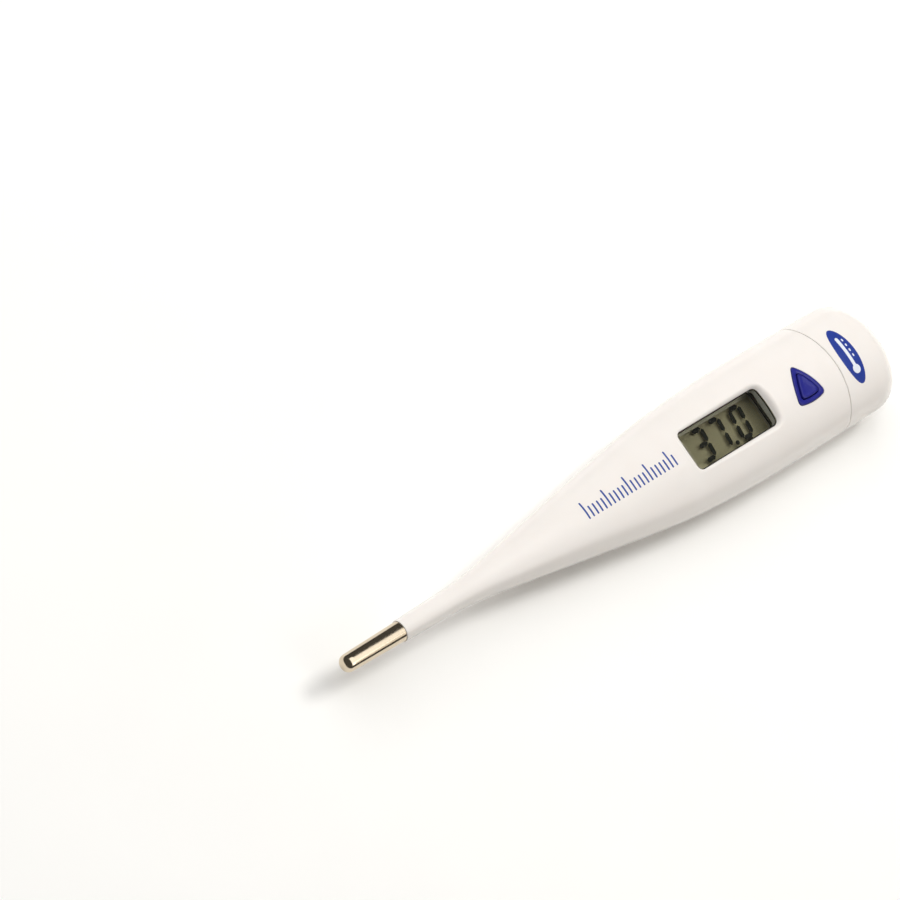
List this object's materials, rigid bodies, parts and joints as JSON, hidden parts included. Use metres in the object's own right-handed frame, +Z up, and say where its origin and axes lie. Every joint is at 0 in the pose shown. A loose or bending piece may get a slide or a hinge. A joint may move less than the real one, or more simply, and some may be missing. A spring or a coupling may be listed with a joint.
{
  "type": "digital thermometer",
  "caption": "Pencil-shaped clinical thermometer with a steel sensing tip, a slim stem, a segment display in a bevelled window, a press button and a pull-off battery cap.",
  "frame": {"origin": "on the resting plane, under the middle of the length and of the width", "axes": "+X from the steel tip to the battery cap, +Y across the body to the display's upper edge, +Z up through the display"},
  "size_m": [0.1298, 0.0216, 0.013],
  "materials": {
    "white_plastic": "glossy warm white ABS moulding",
    "blue_plastic": "glossy deep blue moulding",
    "steel_tip": "nickel-plated and polished, drawn cup",
    "ceramic_bead": "glass-coated ceramic bead, dark",
    "lead_wire": "enamelled fine copper wire",
    "potting": "filled epoxy, matt black",
    "lens": "clear polished acrylic",
    "gasket": "black foam, matt",
    "polariser": "thin grey-green film",
    "lcd_glass": "thin soda-lime glass with clear electrodes",
    "cell_seal": "pale epoxy line",
    "segment": "dark switched segments",
    "reflector": "olive grey-green reflective film",
    "natural_plastic": "satin natural-white moulding",
    "zebra": "layered silicone strip, pink and black",
    "board": "green solder mask over glass-epoxy",
    "chip_resin": "black potting resin drop",
    "smd": "ceramic chip parts",
    "brass_disc": "thin rolled brass",
    "piezo": "silvered ceramic",
    "spring_steel": "bright stainless spring sheet",
    "cell_can": "nickel-plated steel can",
    "rubber_ring": "black silicone"
  },
  "bodies": {
    "body": {"housing": "white_plastic", "probe_tip": "steel_tip", "thermistor_bead": "ceramic_bead", "sensor_lead_left": "lead_wire", "sensor_lead_right": "lead_wire", "tip_potting": "potting", "display_lens": "lens", "display_gasket": "gasket", "lcd_front_polariser": "polariser", "lcd_front_glass": "lcd_glass", "lcd_cell_seal": "cell_seal", "lcd_segments": "segment", "lcd_rear_glass": "lcd_glass", "lcd_reflector": "reflector", "lcd_holder": "natural_plastic", "zebra_strip": "zebra", "circuit_board": "board", "chip_cover": "chip_resin", "chip_parts": "smd", "sounder_disc": "brass_disc", "sounder_ceramic": "piezo", "chassis": "natural_plastic", "snap_dome": "spring_steel", "button_surround": "blue_plastic", "button_cell": "cell_can", "lower_contact": "spring_steel", "upper_contact": "spring_steel"},
    "button": {"power_button": "blue_plastic"},
    "cap": {"battery_cap": "white_plastic", "cap_seal": "rubber_ring", "cap_badge": "blue_plastic"}
  },
  "joints": [
    {"name": "button_press", "type": "slide", "parent": "body", "child": "button", "axis": [0, 0, -1], "range_m": [0, 0.0004], "stiffness_N_per_m": 1500, "deforming": ["snap_dome"]},
    {"name": "cap_pull", "type": "slide", "parent": "body", "child": "cap", "axis": [1, 0, 0], "range_m": [0, 0.024]}
  ]
}
